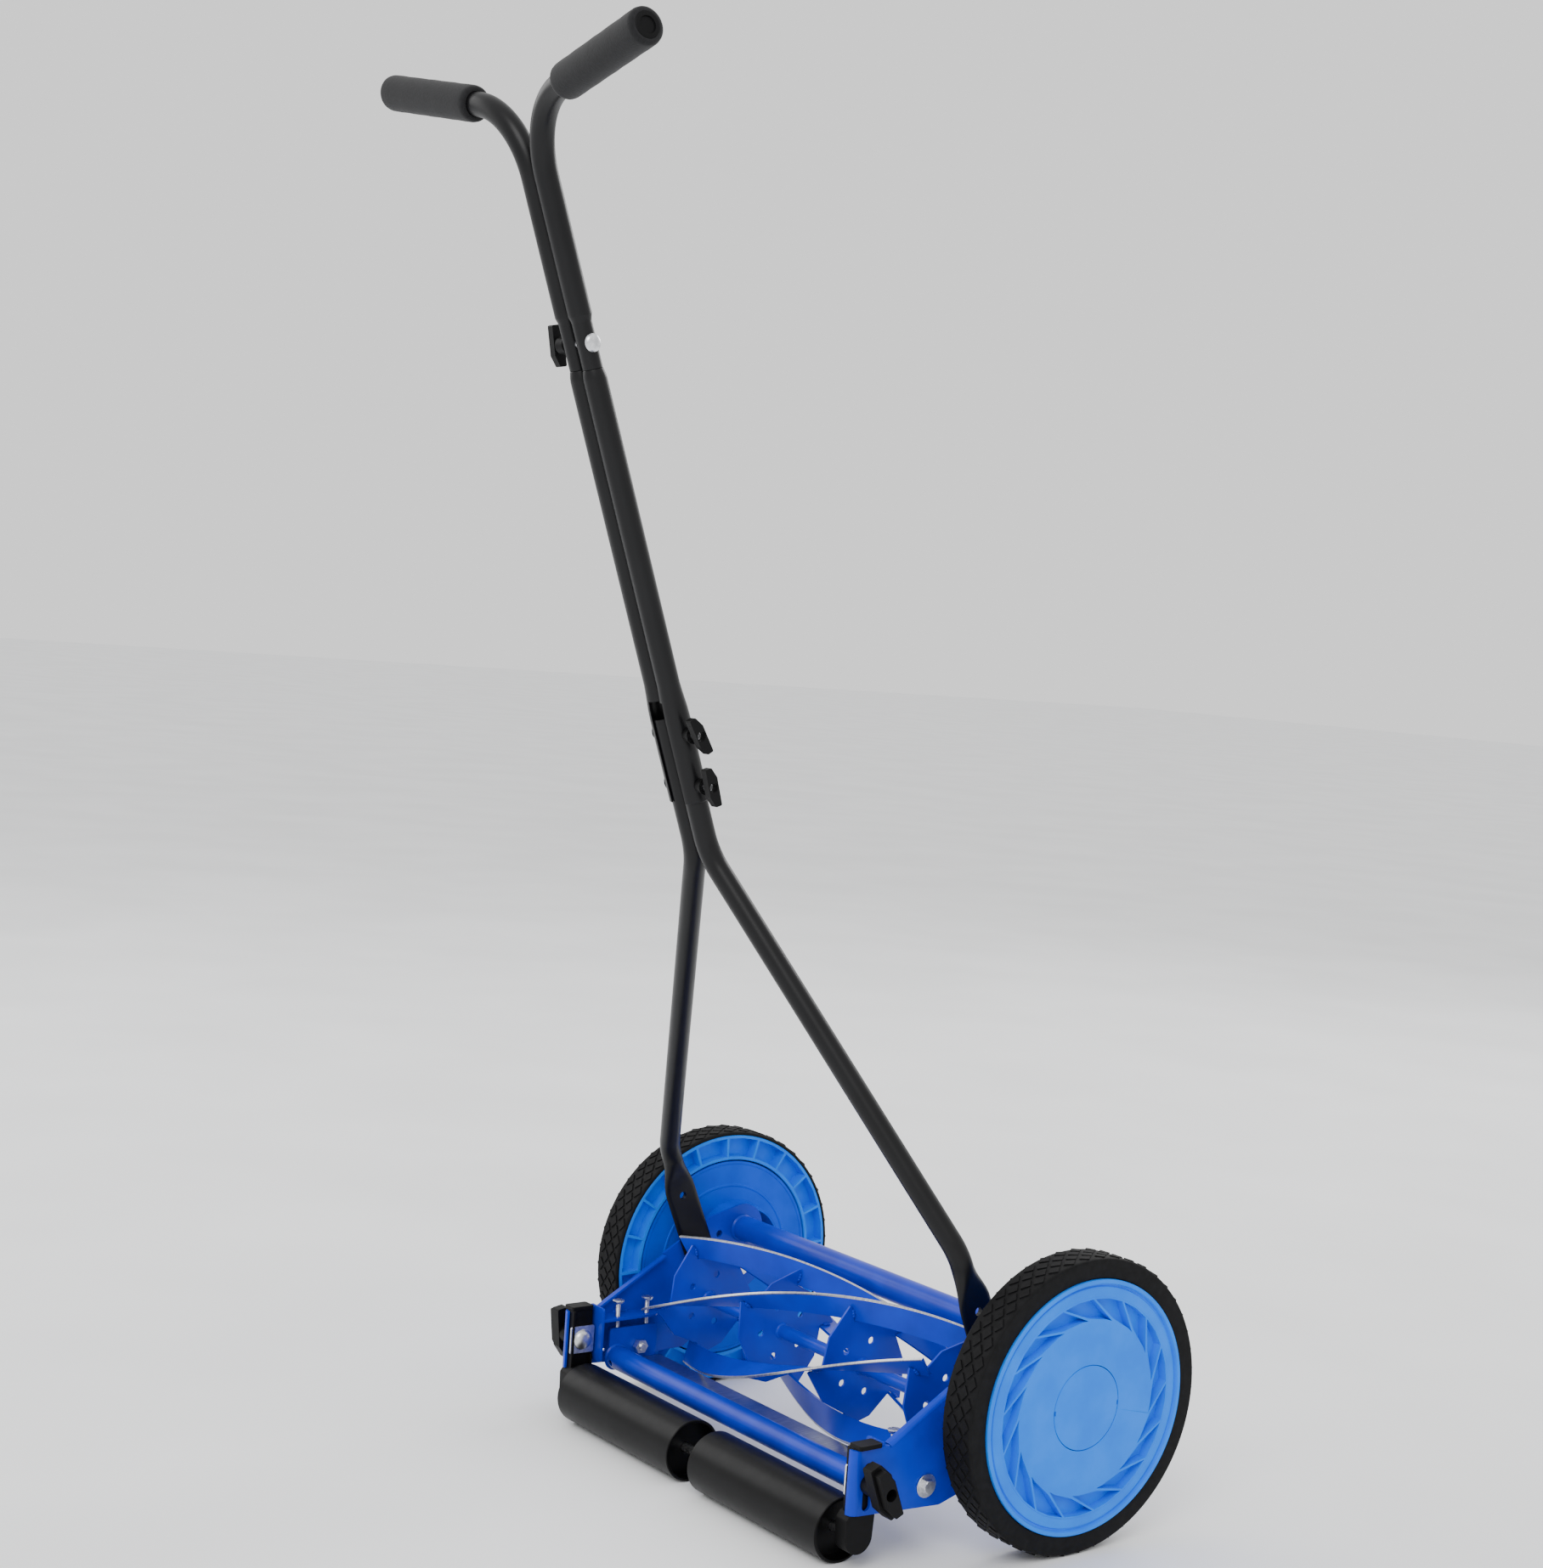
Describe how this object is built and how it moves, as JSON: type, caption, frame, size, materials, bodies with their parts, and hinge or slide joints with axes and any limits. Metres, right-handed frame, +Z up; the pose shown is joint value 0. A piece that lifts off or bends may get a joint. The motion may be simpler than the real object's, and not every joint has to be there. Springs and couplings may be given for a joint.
{
  "type": "reel mower",
  "caption": "Push reel mower: blue frame on black wheels geared to a helical blade reel, rear rollers with height knobs, folding black tube handle with foam grips.",
  "frame": {"origin": "middle of the bounding box's base, on the ground", "axes": "+Y is the way it is pushed when mowing, +X to the right seen from behind the handle, +Z up"},
  "size_m": [0.5606, 0.5902, 1.1652],
  "materials": {
    "blue_steel": "gloss powder coat",
    "blue_plastic": "satin moulded",
    "tyre": "matt tread",
    "black_tube": "satin powder coat",
    "foam_grip": "matt foam",
    "black_plastic": "satin moulded",
    "zinc": "bright zinc plate",
    "steel": "ground"
  },
  "bodies": {
    "chassis": {"tie_tube": "blue_steel", "side_plate_right": "blue_steel", "side_plate_left": "blue_steel", "axle_right": "steel", "axle_left": "steel", "dust_cover_right": "blue_plastic", "dust_cover_left": "blue_plastic", "reel_bush_right": "steel", "reel_bush_left": "steel", "cutter_pivot_right": "zinc", "cutter_pivot_left": "zinc", "handle_bolt_right": "zinc", "handle_bolt_left": "zinc"},
    "cutter_bar_group": {"cutter_bar": "blue_steel", "bed_knife": "steel"},
    "reel": {"reel_shaft": "blue_steel", "reel_blade_1": "blue_steel", "reel_blade_2": "blue_steel", "reel_blade_3": "blue_steel", "reel_blade_4": "blue_steel", "reel_blade_5": "blue_steel", "reel_spider_1": "blue_steel", "reel_spider_2": "blue_steel", "reel_spider_3": "blue_steel", "reel_spider_4": "blue_steel", "pinion_right": "steel", "pinion_left": "steel"},
    "wheel_right": {"tyre_right": "tyre", "hub_right": "blue_plastic", "hub_cap_right": "blue_plastic"},
    "wheel_left": {"tyre_left": "tyre", "hub_left": "blue_plastic", "hub_cap_left": "blue_plastic"},
    "screw_front_right": {"adjuster_screw_front_right": "zinc"},
    "screw_front_left": {"adjuster_screw_front_left": "zinc"},
    "screw_rear_right": {"adjuster_screw_rear_right": "zinc"},
    "screw_rear_left": {"adjuster_screw_rear_left": "zinc"},
    "roller_carriage": {"roller_rod": "steel", "roller_bracket_right": "black_plastic", "roller_bracket_left": "black_plastic", "carriage_bolt_right": "zinc", "carriage_bolt_left": "zinc"},
    "roller_turn_right": {"roller_right": "black_plastic"},
    "roller_turn_left": {"roller_left": "black_plastic"},
    "carriage_knob_right": {"bracket_knob_right": "black_plastic"},
    "carriage_knob_left": {"bracket_knob_left": "black_plastic"},
    "handle": {"fork_tube_right": "black_tube", "fork_tube_left": "black_tube", "mid_tube_right": "black_tube", "mid_tube_left": "black_tube", "upper_tube_right": "black_tube", "upper_tube_left": "black_tube", "grip_right": "foam_grip", "grip_left": "foam_grip", "lower_bolt": "zinc", "middle_bolt": "zinc", "upper_bolt": "zinc"},
    "knob_lower": {"lower_knob": "black_plastic"},
    "knob_middle": {"middle_knob": "black_plastic"},
    "knob_upper": {"upper_knob": "black_plastic"}
  },
  "joints": [
    {"name": "right_wheel_spin", "type": "hinge", "parent": "chassis", "child": "wheel_right", "pos_m": [0, 0.16807, 0.127], "axis": [1, 0, 0], "continuous": true},
    {"name": "left_wheel_spin", "type": "hinge", "parent": "chassis", "child": "wheel_left", "pos_m": [0, 0.16807, 0.127], "axis": [1, 0, 0], "continuous": true},
    {"name": "reel_spin", "type": "hinge", "parent": "chassis", "child": "reel", "pos_m": [0, 0.10447, 0.10936], "axis": [1, 0, 0], "continuous": true},
    {"name": "cutter_bar_rock", "type": "hinge", "parent": "chassis", "child": "cutter_bar_group", "pos_m": [0, 0.04807, 0.0625], "axis": [1, 0, 0], "range_deg": [-3, 0]},
    {"name": "roller_height", "type": "slide", "parent": "chassis", "child": "roller_carriage", "axis": [0, 0, 1], "range_m": [0, 0.011]},
    {"name": "handle_swing", "type": "hinge", "parent": "chassis", "child": "handle", "pos_m": [0, 0.12307, 0.134], "axis": [1, 0, 0], "range_deg": [-48, 22]},
    {"name": "front_screw_right", "type": "slide", "parent": "chassis", "child": "screw_front_right", "axis": [0, 0, 1], "range_m": [-0.0005, 0]},
    {"name": "rear_screw_right", "type": "slide", "parent": "chassis", "child": "screw_rear_right", "axis": [0, 0, 1], "range_m": [0, 0.0015]},
    {"name": "front_screw_left", "type": "slide", "parent": "chassis", "child": "screw_front_left", "axis": [0, 0, 1], "range_m": [-0.0005, 0]},
    {"name": "rear_screw_left", "type": "slide", "parent": "chassis", "child": "screw_rear_left", "axis": [0, 0, 1], "range_m": [0, 0.0015]},
    {"name": "roller_spin_right", "type": "hinge", "parent": "roller_carriage", "child": "roller_turn_right", "pos_m": [0, -0.01643, 0.0276], "axis": [1, 0, 0], "continuous": true},
    {"name": "carriage_knob_turn_right", "type": "hinge", "parent": "roller_carriage", "child": "carriage_knob_right", "pos_m": [0, -0.01343, 0.074], "axis": [1, 0, 0], "continuous": true},
    {"name": "roller_spin_left", "type": "hinge", "parent": "roller_carriage", "child": "roller_turn_left", "pos_m": [0, -0.01643, 0.0276], "axis": [1, 0, 0], "continuous": true},
    {"name": "carriage_knob_turn_left", "type": "hinge", "parent": "roller_carriage", "child": "carriage_knob_left", "pos_m": [0, -0.01343, 0.074], "axis": [1, 0, 0], "continuous": true},
    {"name": "lower_knob_turn", "type": "hinge", "parent": "handle", "child": "knob_lower", "pos_m": [0, -0.08078, 0.61338], "axis": [1, 0, 0], "continuous": true},
    {"name": "middle_knob_turn", "type": "hinge", "parent": "handle", "child": "knob_middle", "pos_m": [0, -0.09605, 0.65465], "axis": [1, 0, 0], "continuous": true},
    {"name": "upper_knob_turn", "type": "hinge", "parent": "handle", "child": "knob_upper", "pos_m": [0, -0.20672, 0.95383], "axis": [1, 0, 0], "continuous": true}
  ],
  "couplings": [
    {"joint": "left_wheel_spin", "follows": "right_wheel_spin", "ratio": 1},
    {"joint": "reel_spin", "follows": "right_wheel_spin", "ratio": 4.6667},
    {"joint": "front_screw_right", "follows": "cutter_bar_rock", "m_per_rad": 0.007},
    {"joint": "rear_screw_right", "follows": "cutter_bar_rock", "m_per_rad": -0.025},
    {"joint": "front_screw_left", "follows": "cutter_bar_rock", "m_per_rad": 0.007},
    {"joint": "rear_screw_left", "follows": "cutter_bar_rock", "m_per_rad": -0.025}
  ]
}
